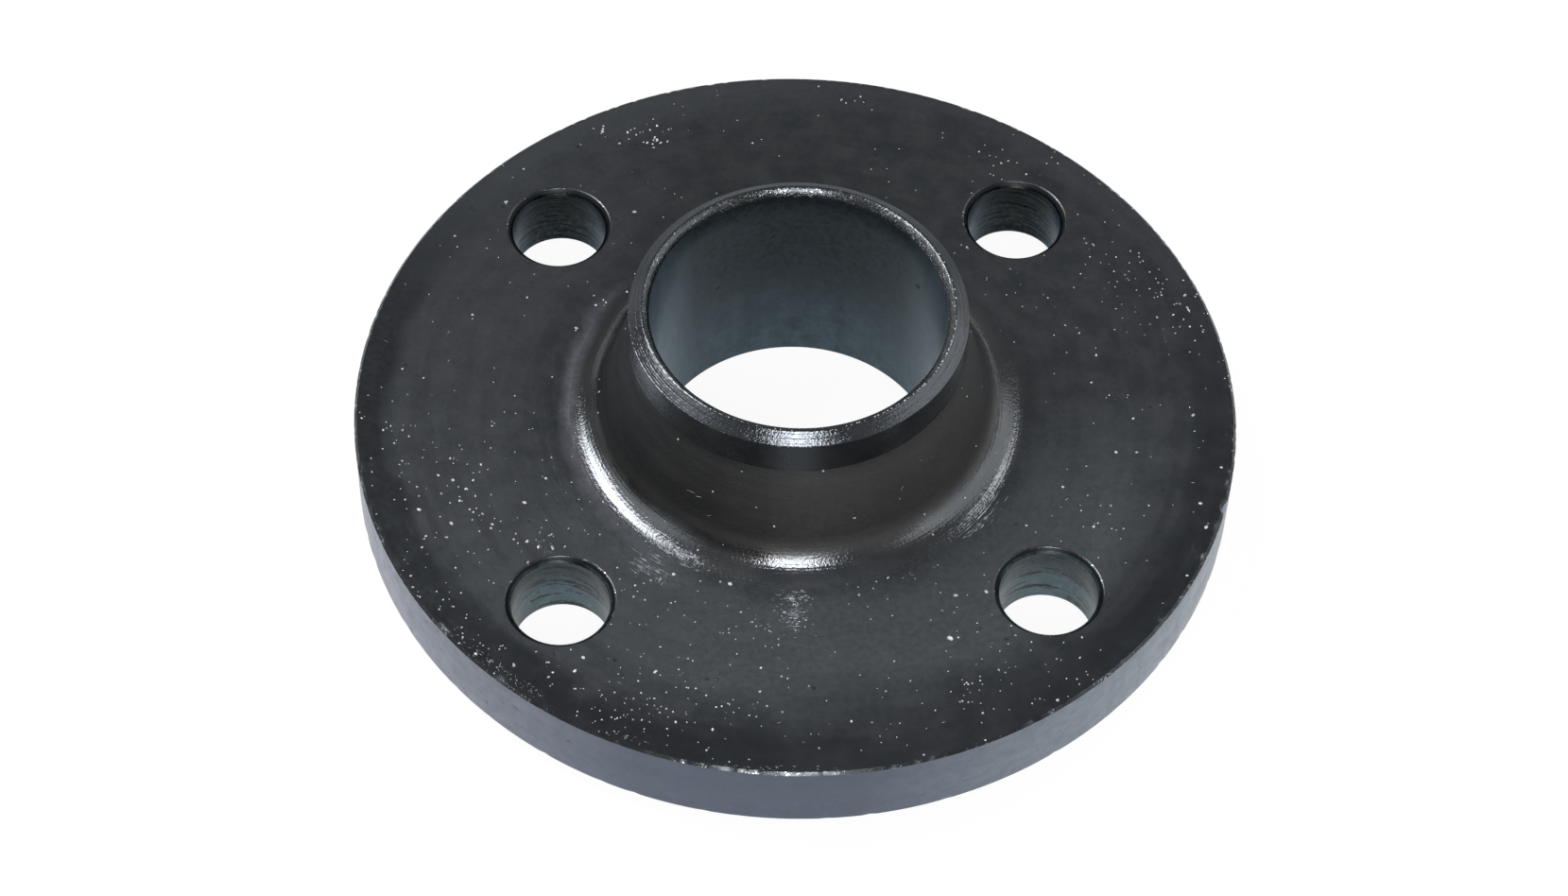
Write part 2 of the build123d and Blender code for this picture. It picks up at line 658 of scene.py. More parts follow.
@dataclass(frozen=True)
class FlangeSizes:
    """Sizes of the flange in millimetres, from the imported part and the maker's edge breaks."""

    height: float
    flange_radius: float
    bore_radius: float
    weld_end_radius: float
    weld_end_length: float
    bolt_circle_radius: float
    hole_radius: float
    hole_count: int
    raised_face_radius: float = 51.0
    raised_face_height: float = 3.0
    plate_top: float = 18.0
    neck_root_radius: float = 37.0
    root_fillet: float = 8.0
    bevel_angle: float = 37.5
    land_width: float = 0.3
    inner_chamfer_width: float = 1.25
    inner_chamfer_depth: float = 1.5
    crest_radius: float = 0.6
    rim_break: float = 0.5
    face_break: float = 0.4
    bore_break: float = 0.8
    hole_break: float = 1.0
    first_hole_azimuth: float = 45.0

    @classmethod
    def from_frame(cls, record: dict, box: tuple[Vector, Vector]) -> "FlangeSizes":
        """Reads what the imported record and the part's box say.

        Args:
            record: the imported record.
            box: lowest and highest corner of the flange, in metres.

        Returns:
            The sizes.
        """
        mounts = {mount["name"]: mount["dims"] for mount in record["mounts"]}
        return cls(
            height=round(box[1].z / MM, 2),
            flange_radius=round(box[1].x / MM, 1),
            bore_radius=mounts["bore"]["r_mm"],
            weld_end_radius=mounts["weld_end_outside"]["r_mm"],
            weld_end_length=mounts["weld_end_outside"]["length_mm"],
            bolt_circle_radius=mounts["bolt_holes"]["pcd_mm"] / 2,
            hole_radius=mounts["bolt_holes"]["hole_r_mm"],
            hole_count=int(mounts["bolt_holes"]["count"]),
        )

    @property
    def land_inner(self) -> float:
        """Inner radius of the narrow land at the tip."""
        return self.bore_radius + self.inner_chamfer_width

    @property
    def land_outer(self) -> float:
        """Outer radius of the narrow land at the tip."""
        return self.land_inner + self.land_width

    @property
    def bevel_foot(self) -> float:
        """Height where the weld bevel meets the straight end."""
        return self.height - (self.weld_end_radius - self.land_outer) * math.tan(math.radians(self.bevel_angle))

    @property
    def cone_top(self) -> float:
        """Height where the cone meets the straight end."""
        return self.bevel_foot - self.weld_end_length

    @property
    def cone_lean(self) -> float:
        """Angle of the cone's side from the vertical, in radians."""
        return math.atan2(self.neck_root_radius - self.weld_end_radius, self.cone_top - self.plate_top)

    @property
    def crest_centre(self) -> Place:
        """Centre of the small rounding at the tip, which touches the bevel and the top."""
        slope = math.radians(self.bevel_angle)
        inset = self.crest_radius * (1.0 - math.cos(slope)) / math.sin(slope)
        return self.land_outer - inset, self.height - self.crest_radius

    def crest_point(self, angle: float) -> Place:
        """Gives the point of the tip's rounding whose outside faces an angle in degrees above the horizon."""
        centre = self.crest_centre
        turn = math.radians(angle)
        return centre[0] + self.crest_radius * math.cos(turn), centre[1] + self.crest_radius * math.sin(turn)

    def ring_point(self, ring: Ring, share: float, bulge: float) -> tuple[Place, float]:
        """Point on one ring of the neck.

        Args:
            ring: the ring.
            share: how far across it, from 0 at its lower or outer side to 1.
            bulge: how far the inner chamfer stands out in its middle, in millimetres.

        Returns:
            The point, and the elevation of the surface's outward direction there, in degrees.
        """
        slope = 90.0 - self.bevel_angle
        if ring is Ring.FILLET:
            return self.fillet_point(share), 90.0 - share * (90.0 - math.degrees(self.cone_lean))
        if ring is Ring.CREST:
            angle = slope + (CREST_END - slope) * share
            return self.crest_point(angle), angle
        if ring is Ring.BEVEL:
            start, end, lean = (self.weld_end_radius, self.bevel_foot), self.crest_point(slope), slope
            bulge = 0.0
        else:
            start, end = self.crest_point(CREST_END), (self.bore_radius, self.height - self.inner_chamfer_depth)
            lean = 90.0 + math.degrees(math.atan2(start[1] - end[1], start[0] - end[0]))
        out = 4.0 * bulge * share * (1.0 - share)
        radius = start[0] + (end[0] - start[0]) * share + out * math.cos(math.radians(lean))
        height = start[1] + (end[1] - start[1]) * share + out * math.sin(math.radians(lean))
        return (radius, height), lean

    @property
    def fillet_centre(self) -> Place:
        """Centre of the root fillet's arc."""
        reach = self.root_fillet / math.tan((math.pi / 2 + self.cone_lean) / 2)
        return self.neck_root_radius + reach, self.plate_top + self.root_fillet

    def fillet_point(self, share: float) -> Place:
        """Gives a point on the root fillet.

        Args:
            share: 0 where the fillet leaves the plate, 1 where it meets the cone.

        Returns:
            Radius and height.
        """
        centre = self.fillet_centre
        angle = -math.pi / 2 - share * (math.pi / 2 - self.cone_lean)
        return (centre[0] + self.root_fillet * math.cos(angle), centre[1] + self.root_fillet * math.sin(angle))


@dataclass(frozen=True)
class Dent:
    """A small dent or notch: where it is, how wide it is and how deep, in degrees and millimetres."""

    azimuth: float
    height: float
    width: float
    tallness: float
    depth: float


@dataclass
class FlangeBody:
    """The forged and turned body: plate, neck, weld end, bore and bolt holes in one closed mesh."""

    sizes: FlangeSizes
    segments: int = 400
    gasket_grooves: int = 14
    groove_depth: float = 0.10
    hole_segments: int = 96
    fillet_lines: int = 15
    fillet_line_steps: int = 5
    fillet_line_depth: float = 0.022
    bevel_lines: int = 6
    bevel_line_steps: int = 4
    bevel_line_depth: float = 0.05
    chamfer_bulge: float = CHAMFER_BULGE
    chamfer_steps: int = 10
    crest_steps: int = 7
    mouth_rounding: float = 0.15
    nick_depth: float = 0.19
    nick_reach: float = 1.3
    seed: float = 11.3
    rim_dents: tuple[Dent, ...] = (
        Dent(-129.4, 13.0, 0.9, 0.5, 0.25),
        Dent(-121.4, 12.0, 0.7, 0.4, 0.25),
        Dent(-135.4, 10.0, 1.0, 0.4, 0.22),
        Dent(-128.4, 8.0, 0.6, 0.4, 0.2),
        Dent(-134.4, 7.7, 0.6, 0.5, 0.22),
        Dent(-150.4, 4.8, 0.8, 0.4, 0.2),
        Dent(-87.4, 9.3, 0.6, 0.3, 0.15),
        Dent(-70.4, 8.2, 0.7, 0.3, 0.18),
        Dent(-55.4, 14.0, 0.8, 0.4, 0.22),
        Dent(-57.4, 10.3, 0.6, 0.3, 0.15),
        Dent(62.0, 11.0, 0.8, 0.5, 0.2),
        Dent(131.0, 7.0, 0.7, 0.4, 0.2),
    )
    edge_notch: Dent = Dent(-18.4, 18.0, 1.3, 1.6, 0.75)
    outline: list[Place] = field(default_factory=list)

    def _sealing_side(self) -> list[Place]:
        """Outline from the mouth of the bore, under the part, up to the foot of the rim."""
        s = self.sizes
        inner = s.bore_radius + s.bore_break
        points = straight((s.bore_radius, s.bore_break), (inner, 0.0), 2)
        outer = s.raised_face_radius - s.face_break
        for i, place in enumerate(straight((inner, 0.0), (outer, 0.0), 2 * self.gasket_grooves)):
            points.append((place[0], self.groove_depth * (i % 2)))
        points += straight((s.raised_face_radius - s.face_break, 0.0), (s.raised_face_radius, s.face_break), 2)
        points += straight((s.raised_face_radius, s.face_break), (s.raised_face_radius, s.raised_face_height), 3)
        under = (s.flange_radius - s.rim_break, s.raised_face_height)
        points += straight((s.raised_face_radius, s.raised_face_height), under, 6)
        points += straight(under, (s.flange_radius, s.raised_face_height + s.rim_break), 2)
        return points

    def _rim_and_top(self) -> list[Place]:
        """Outline up the rim and in over the plate, to where the root fillet starts."""
        s = self.sizes
        shoulder = (s.flange_radius, s.plate_top - s.rim_break)
        points = straight((s.flange_radius, s.raised_face_height + s.rim_break), shoulder, 10)
        points += straight(shoulder, (s.flange_radius - s.rim_break, s.plate_top), 3)
        inset = (s.flange_radius - self.nick_reach, s.plate_top)
        points += straight((s.flange_radius - s.rim_break, s.plate_top), inset, 2)
        points += straight(inset, s.fillet_point(0.0), 9)
        return points

    def _neck(self) -> list[Place]:
        """Outline up the root fillet, the cone and the straight end."""
        s = self.sizes
        steps = self.fillet_lines * self.fillet_line_steps
        centre = s.fillet_centre
        rng = random.Random(4)
        depths = [self.fillet_line_depth * rng.uniform(0.25, 1.0) / s.root_fillet for _ in range(self.fillet_lines)]
        points = []
        for i in range(steps):
            radius, height = s.fillet_point(i / steps)
            wave = abs(math.sin(math.pi * i / self.fillet_line_steps)) * smooth_step(0.0, 0.6, 1.0 - i / steps)
            hollow = depths[i // self.fillet_line_steps] * wave
            points.append((radius - (centre[0] - radius) * hollow, height - (centre[1] - height) * hollow))
        points += straight(s.fillet_point(1.0), (s.weld_end_radius, s.cone_top), 6)
        points += straight((s.weld_end_radius, s.cone_top), (s.weld_end_radius, s.bevel_foot), 5)
        return points

    def _weld_end(self) -> list[Place]:
        """Outline over the bevel with the tool's feed lines, the rounded crest and down the inner chamfer and bore."""
        s = self.sizes
        foot = (s.weld_end_radius, s.bevel_foot)
        slope = math.radians(s.bevel_angle)
        steps = self.bevel_lines * self.bevel_line_steps
        rng = random.Random(9)
        depths = [self.bevel_line_depth * rng.uniform(0.3, 1.0) for _ in range(self.bevel_lines)]
        points = []
        for i, (radius, height) in enumerate(straight(foot, s.crest_point(90.0 - s.bevel_angle), steps)):
            hollow = depths[i // self.bevel_line_steps] * abs(math.sin(math.pi * i / self.bevel_line_steps))
            points.append((radius - hollow * math.sin(slope), height - hollow * math.cos(slope)))
        turn = CREST_END - 90.0 + s.bevel_angle
        for i in range(self.crest_steps):
            points.append(s.crest_point(90.0 - s.bevel_angle + turn * i / self.crest_steps))
        mouth = (s.bore_radius, s.height - s.inner_chamfer_depth)
        chamfer = straight(s.crest_point(CREST_END), mouth, self.chamfer_steps)
        inward = Vector((mouth[1] - chamfer[0][1], chamfer[0][0] - mouth[0])).normalized()
        for i, (radius, height) in enumerate(chamfer):
            share = i / self.chamfer_steps
            bulge = 4.0 * self.chamfer_bulge * share * (1.0 - share)
            points.append((radius + inward.x * bulge, height + inward.y * bulge))
        points += straight(mouth, (s.bore_radius, s.bore_break), 8)
        return points

    def zone_at(self, radius: float, height: float) -> Zone:
        """Names the surface that a point of the turned outline lies on.

        Args:
            radius: distance from the axis, in millimetres.
            height: height over the sealing face, in millimetres.

        Returns:
            The zone.
        """
        s = self.sizes
        slack = 0.01
        in_hole = abs(radius - s.bolt_circle_radius) < s.hole_radius + s.hole_break + slack
        inside_plate = s.raised_face_height + slack < height < s.plate_top - slack
        if in_hole and inside_plate:
            depth = min(height - s.raised_face_height, s.plate_top - height)
            if depth < self.mouth_rounding:
                return Zone.EDGE_BREAK
            return Zone.HOLE_WALL if depth > s.hole_break * 0.6 else Zone.HOLE_MOUTH
        if radius > s.flange_radius - s.rim_break - slack and inside_plate:
            low = s.raised_face_height + s.rim_break
            return Zone.RIM if low < height < s.plate_top - s.rim_break else Zone.EDGE_BREAK
        if height >= s.height - s.inner_chamfer_depth - slack and radius < s.crest_centre[0]:
            return Zone.INNER_CHAMFER
        if radius < s.bore_radius + slack:
            return Zone.BORE
        if height > s.bevel_foot - slack:
            return Zone.BEVEL
        if height > s.cone_top - slack:
            return Zone.WELD_END
        if height > s.plate_top + slack:
            return Zone.NECK
        if height > s.plate_top - slack:
            return Zone.PLATE_TOP
        return Zone.SEALING_FACE

    def _turn(self) -> bmesh.types.BMesh:
        """Spins the outline round the axis into a closed shell.

        Returns:
            The shell, in metres, with its faces turned outwards.
        """
        self.outline = self._sealing_side() + self._rim_and_top() + self._neck() + self._weld_end()
        bm = bmesh.new()
        ring = [bm.verts.new((radius * MM, 0.0, height * MM)) for radius, height in self.outline]
        edges = [bm.edges.new((ring[i - 1], ring[i])) for i in range(len(ring))]
        bmesh.ops.spin(
            bm, geom=ring + edges, cent=(0, 0, 0), axis=(0, 0, 1), angle=math.tau, steps=self.segments,
            use_merge=True, use_normal_flip=False,
        )
        bmesh.ops.remove_doubles(bm, verts=bm.verts, dist=1e-7)
        bmesh.ops.recalc_face_normals(bm, faces=bm.faces)
        return bm

    def _drill(self) -> bpy.types.Object:
        """Makes the drills that cut the bolt holes with their deburred mouths.

        Returns:
            One object that holds all the drills.
        """
        s = self.sizes
        over = 0.6
        mouth = s.hole_radius + s.hole_break
        edge = self.mouth_rounding
        half = s.hole_break * 0.6
        flare = [
            (s.hole_radius + s.hole_break - half, half),
            (mouth - edge, edge),
            (mouth - 0.03, edge * 0.4),
            (mouth + edge - 0.02, 0.005),
            (mouth + over, -over),
            (0.0, -over),
        ]
        outline = [(radius, s.raised_face_height + depth) for radius, depth in reversed(flare)]
        outline += straight((s.hole_radius, s.raised_face_height + s.hole_break),
                            (s.hole_radius, s.plate_top - s.hole_break), 12)
        outline.append((s.hole_radius, s.plate_top - s.hole_break))
        outline += [(radius, s.plate_top - depth) for radius, depth in flare]
        bm = bmesh.new()
        for k in range(s.hole_count):
            centre = direction(s.first_hole_azimuth + 360.0 * k / s.hole_count) * s.bolt_circle_radius * MM
            points = [bm.verts.new((centre.x + r * MM, centre.y, z * MM)) for r, z in outline]
            edges = [bm.edges.new((points[i], points[i + 1])) for i in range(len(points) - 1)]
            bmesh.ops.spin(
                bm, geom=points + edges, cent=centre, axis=(0, 0, 1), angle=math.tau,
                steps=self.hole_segments, use_merge=True,
            )
        bmesh.ops.remove_doubles(bm, verts=bm.verts, dist=1e-7)
        bmesh.ops.recalc_face_normals(bm, faces=bm.faces)
        return link_object("hole_drills", bm)

    def _cut_holes(self, shell: bpy.types.Object) -> bmesh.types.BMesh:
        """Cuts the bolt holes through the plate.

        Args:
            shell: the turned shell, which is removed with the drills.

        Returns:
            The drilled body.
        """
        drills = self._drill()
        cut = shell.modifiers.new("holes", "BOOLEAN")
        cut.operation = "DIFFERENCE"
        cut.solver = "EXACT"
        cut.object = drills
        drilled = shell.evaluated_get(bpy.context.evaluated_depsgraph_get()).to_mesh()
        bm = bmesh.new()
        bm.from_mesh(drilled)
        for used in (shell, drills):
            bpy.data.objects.remove(used)
        bmesh.ops.remove_doubles(bm, verts=bm.verts, dist=1e-7)
        return bm

    def _refine(self, bm: bmesh.types.BMesh) -> None:
        """Divides the edges along the rim's top corner, and the faces round each dent, for finer wear."""
        s = self.sizes
        along_rim = []
        for edge in bm.edges:
            a, b = (v.co for v in edge.verts)
            level = abs(a.z - b.z) < 1e-6 and abs(a.xy.length - b.xy.length) < 1e-6
            outer = a.xy.length / MM > s.flange_radius - self.nick_reach - 0.01
            if level and outer and a.z / MM > s.plate_top - 1.6:
                along_rim.append(edge)
        bmesh.ops.subdivide_edges(bm, edges=along_rim, cuts=1)
        for dent in self.rim_dents:
            centre = direction(dent.azimuth) * s.flange_radius * MM + Vector((0, 0, dent.height * MM))
            reach = (dent.width + 1.0) * MM
            near = {e for f in bm.faces if (f.calc_center_median() - centre).length < reach for e in f.edges}
            bmesh.ops.subdivide_edges(bm, edges=list(near), cuts=3, use_grid_fill=True)

    def _wear(self, bm: bmesh.types.BMesh) -> None:
        """Nicks the rim's corners, presses in the dents and roughens the tip of the weld end."""
        s = self.sizes
        for vert in bm.verts:
            flat = vert.co.xy
            radius = flat.length / MM
            height = vert.co.z / MM
            outward = Vector((flat.x, flat.y, 0.0)).normalized()
            if radius > s.flange_radius - self.nick_reach - 0.01:
                self._wear_rim(vert, outward, radius, height)
            elif height > s.bevel_foot - 0.3:
                value = noise.noise(Vector((outward.x * 60, outward.y * 60, self.seed)))
                fine = noise.noise(Vector((outward.x * 190, outward.y * 190, height)))
                close = 1.0 - min(abs(radius - s.land_outer), 0.5) / 0.5
                vert.co.z -= max(0.0, value + 0.6 * fine - 0.25) * 0.09 * MM * close

    def _wear_rim(self, vert: bmesh.types.BMVert, outward: Vector, radius: float, height: float) -> None:
        """Wears one point near the rim.

        Args:
            vert: the point.
            outward: unit vector from the axis through it.
            radius: its distance from the axis, in millimetres.
            height: its height, in millimetres.
        """
        s = self.sizes
        top = 1.0 - min(max(s.plate_top - height, 0.0), 1.2) / 1.2
        bottom = 1.0 - min(max(height - s.raised_face_height, 0.0), 1.2) / 1.2
        inner = smooth_step(s.flange_radius - self.nick_reach, s.flange_radius - 0.4, radius)
        corner = max(top, bottom) * inner
        rough = noise.noise(Vector((outward.x * 95, outward.y * 95, self.seed + top)))
        large = noise.noise(Vector((outward.x * 24, outward.y * 24, self.seed - bottom)))
        nick = smooth_step(0.12, 0.6, rough + 0.5 * large) * self.nick_depth * corner
        vert.co -= outward * nick * MM
        vert.co.z -= nick * 0.5 * MM * (1.0 if top >= bottom else -1.0)
        for dent in (*self.rim_dents, self.edge_notch):
            middle = direction(dent.azimuth)
            along = (outward - middle).length * s.flange_radius
            if outward.dot(middle) > 0 and along < dent.width * 2:
                away = (along / dent.width) ** 2 + ((height - dent.height) / dent.tallness) ** 2
                vert.co -= outward * dent.depth * math.exp(-1.6 * away) * MM * max(inner, 0.3)

    def build(self) -> bpy.types.Object:
        """Makes the whole body.

        Returns:
            The body at the origin, with its faces sorted into zones and its corners marked sharp.
        """
        bm = self._cut_holes(link_object("turned_shell", self._turn()))
        for face in bm.faces:
            middle = face.calc_center_median()
            radius = face.verts[0].co.xy.length if abs(face.normal.z) < 0.02 else middle.xy.length
            face.material_index = self.zone_at(radius / MM, middle.z / MM)
            face.smooth = True
        self._refine(bm)
        self._wear(bm)
        for edge in bm.edges:
            if len(edge.link_faces) == 2 and edge.calc_face_angle() > math.radians(24):
                edge.smooth = False
        return link_object("flange_body", bm)

    def dress(self, body: bpy.types.Object, coats: dict[Zone, TurnedCoat], effects: SurfaceEffects) -> None:
        """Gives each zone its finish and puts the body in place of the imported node.

        Args:
            body: the built body.
            coats: the finish of each zone.
            effects: the shared node groups.
        """
        for zone in Zone:
            body.data.materials.append(coats[zone].material(effects))
        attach(body, BODY)
        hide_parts(CAD_NODE)


@dataclass(frozen=True)
class DustPatch:
    """Dust specks gathered round one place on the plate. Lengths are in millimetres."""

    azimuth: float
    radius: float
    along: float
    across: float
    count: int
    size: float = 0.2
    stretch: float = 1.0


@dataclass
class DustCover:
    """White dust that lies on the plate, the neck and the tip, as separate tiny lumps."""

    sizes: FlangeSizes
    seed: int = 5
    stray_count: int = 850
    neck_count: int = 64
    tip_count: int = 60
    flatness: float = 0.45
    patches: tuple[DustPatch, ...] = (
        DustPatch(117.5, 77.8, 1.4, 0.8, 6, 0.20, 1.3),
        DustPatch(114.0, 74.8, 2.6, 1.2, 9, 0.20, 1.4),
        DustPatch(110.5, 71.6, 1.8, 1.6, 12, 0.24, 1.4),
        DustPatch(109.0, 74.0, 3.0, 2.0, 9, 0.16, 1.4),
        DustPatch(137.0, 74.0, 0.8, 0.8, 3, 0.30, 1.3),
        DustPatch(54.0, 72.0, 6.0, 2.5, 9, 0.2),
        DustPatch(24.0, 71.0, 7.0, 4.5, 48, 0.15, 1.5),
        DustPatch(15.5, 78.0, 4.0, 2.0, 16, 0.22, 1.7),
        DustPatch(48.0, 60.5, 5.0, 2.5, 10, 0.18),
        DustPatch(82.0, 50.0, 8.0, 2.0, 22, 0.14),
        DustPatch(-172.0, 72.0, 9.0, 4.0, 30, 0.19, 1.5),
        DustPatch(-158.0, 62.0, 8.0, 4.0, 28, 0.22, 1.4),
        DustPatch(-145.5, 57.3, 3.0, 1.6, 12, 0.26, 2.2),
        DustPatch(-125.0, 51.0, 6.0, 2.5, 16, 0.2, 1.4),
        DustPatch(-97.0, 50.5, 5.0, 2.5, 26, 0.14, 1.4),
        DustPatch(-140.0, 79.0, 12.0, 1.6, 34, 0.18, 1.4),
        DustPatch(-116.8, 76.0, 6.0, 2.8, 44, 0.17),
        DustPatch(-109.2, 70.5, 5.0, 2.6, 26, 0.18),
        DustPatch(-99.5, 68.4, 4.0, 2.2, 12, 0.18),
        DustPatch(-65.8, 72.8, 2.2, 2.0, 18, 0.17),
        DustPatch(-60.3, 69.6, 2.0, 2.0, 10, 0.17),
        DustPatch(-55.0, 79.0, 4.0, 1.2, 9, 0.17),
        DustPatch(-26.0, 62.0, 4.0, 3.0, 8, 0.18),
        DustPatch(79.7, 77.5, 2.0, 1.4, 6, 0.22),
        DustPatch(146.0, 42.8, 1.5, 1.0, 4, 0.22),
        DustPatch(-64.9, 60.0, 0.2, 0.2, 1, 0.55, 1.5),
        DustPatch(-116.9, 39.8, 0.2, 0.2, 1, 0.45, 1.6),
        DustPatch(-108.0, 43.3, 0.2, 0.2, 1, 0.42, 1.6),
    )

    def in_hole(self, spot: Vector) -> bool:
        """Tells whether a spot lies over a bolt hole or its deburred mouth."""
        s = self.sizes
        for k in range(s.hole_count):
            centre = direction(s.first_hole_azimuth + 360.0 * k / s.hole_count) * s.bolt_circle_radius
            if (spot.xy - centre.xy).length < s.hole_radius + s.hole_break + 0.2:
                return True
        return False

    def _add(self, bm: bmesh.types.BMesh, spot: Vector, normal: Vector, size: float, stretch: float,
             rng: random.Random) -> None:
        """Adds one speck.

        Args:
            bm: the shape that holds all specks.
            spot: where it lies, in millimetres.
            normal: the surface's outward direction there.
            size: its radius, in millimetres.
            stretch: length over width.
            rng: source of seeded chance.
        """
        turn = Matrix.Rotation(rng.uniform(0, math.tau), 4, "Z")
        squash = Matrix.Diagonal((size * stretch * MM, size * MM, size * self.flatness * MM, 1.0))
        face_up = normal.to_track_quat("Z", "Y").to_matrix().to_4x4()
        place = Matrix.Translation((spot + normal * size * self.flatness * 0.35) * MM)
        made = bmesh.ops.create_icosphere(bm, subdivisions=1, radius=1.0, matrix=place @ face_up @ turn @ squash)
        for vert in made["verts"]:
            vert.co += Vector((rng.gauss(0, 1), rng.gauss(0, 1), rng.gauss(0, 0.5))) * size * 0.12 * MM

    def _on_plate(self, bm: bmesh.types.BMesh, rng: random.Random) -> None:
        """Scatters the stray specks and the patches over the plate."""
        s = self.sizes
        inner = s.fillet_centre[0]
        outer = s.flange_radius - s.rim_break
        for _ in range(self.stray_count):
            radius = math.sqrt(rng.uniform(inner ** 2, outer ** 2))
            azimuth = rng.uniform(-180, 180)
            dusty = 0.95 if azimuth < -50 else 0.3 if azimuth > 60 else 0.55
            spot = direction(azimuth) * radius + Vector((0, 0, s.plate_top))
            if rng.random() < dusty and not self.in_hole(spot):
                size = 0.045 + rng.paretovariate(2.0) * 0.055
                self._add(bm, spot, Vector((0, 0, 1)), min(size, 0.33), rng.uniform(1.0, 1.6), rng)
        for patch in self.patches:
            middle = direction(patch.azimuth)
            side = Vector((-middle.y, middle.x, 0))
            for _ in range(patch.count):
                spot = middle * (patch.radius + rng.gauss(0, patch.across)) + side * rng.gauss(0, patch.along)
                if inner < spot.length < outer and not self.in_hole(spot):
                    spot.z = s.plate_top
                    size = patch.size * rng.uniform(0.45, 1.2) if patch.count > 1 else patch.size
                    self._add(bm, spot, Vector((0, 0, 1)), size, rng.uniform(1.0, patch.stretch + 0.2), rng)

    def _on_neck(self, bm: bmesh.types.BMesh, rng: random.Random) -> None:
        """Scatters specks over the root fillet and the cone, and a row of them along the tip."""
        s = self.sizes
        foot = s.fillet_point(1.0)
        for _ in range(self.neck_count):
            azimuth = rng.uniform(0, 360)
            share = rng.random()
            if share < 0.5:
                radius, height = s.fillet_point(share * 2)
                lean = share * 2 * (math.pi / 2 - s.cone_lean)
            else:
                climb = (share - 0.5) * 2
                radius = foot[0] + (s.weld_end_radius - foot[0]) * climb
                height = foot[1] + (s.cone_top - foot[1]) * climb
                lean = math.pi / 2 - s.cone_lean
            normal = direction(azimuth, 90.0 - math.degrees(lean))
            spot = direction(azimuth) * radius + Vector((0, 0, height))
            self._add(bm, spot, normal, rng.uniform(0.07, 0.2), rng.uniform(1.0, 1.8), rng)
        for _ in range(self.tip_count):
            azimuth = rng.gauss(-45, 45)
            spot = direction(azimuth) * (s.land_outer - 0.1) + Vector((0, 0, s.height - 0.03))
            self._add(bm, spot, Vector((0, 0, 1)), rng.uniform(0.07, 0.16), 1.3, rng)

    def build(self) -> bpy.types.Object:
        """Makes all the specks.

        Returns:
            One object that holds them.
        """
        rng = random.Random(self.seed)
        bm = bmesh.new()
        self._on_plate(bm, rng)
        self._on_neck(bm, rng)
        for face in bm.faces:
            face.smooth = True
        return link_object("dust_specks", bm)

    def dress(self, specks: bpy.types.Object, dust: PaleMarks) -> None:
        """Gives the specks their finish and lets them move with the body."""
        specks.data.materials.append(dust.material())
        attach(specks, BODY)


@dataclass(frozen=True)
class ScratchAndGlintPatch:
    """Fine scratches, and pale strokes painted as glints, gathered round one place on the plate. Lengths are in
    millimetres, slant in degrees.
    """

    azimuth: float
    radius: float
    along: float
    across: float
    count: int
    length: float
    width: float = 0.09
    slant: float = 0.0
    spread: float = 5.0


@dataclass(frozen=True)
class Fibre:
    """A short pale fibre that clings to the neck. Its slant is measured from the level, in degrees."""

    azimuth: float
    height: float
    length: float
    slant: float
    width: float = 0.11


@dataclass(frozen=True)
class PaintedRingGlints:
    """Short bright strokes painted as glints on one ring of the neck. Azimuth and span are in degrees, lengths in
    millimetres.

    Strokes lie in as many rows as rows says, or anywhere when it is 0.
    """

    ring: Ring
    azimuth: float
    span: float
    low: float
    high: float
    count: int
    length: float
    width: float = 0.08
    rows: int = 0


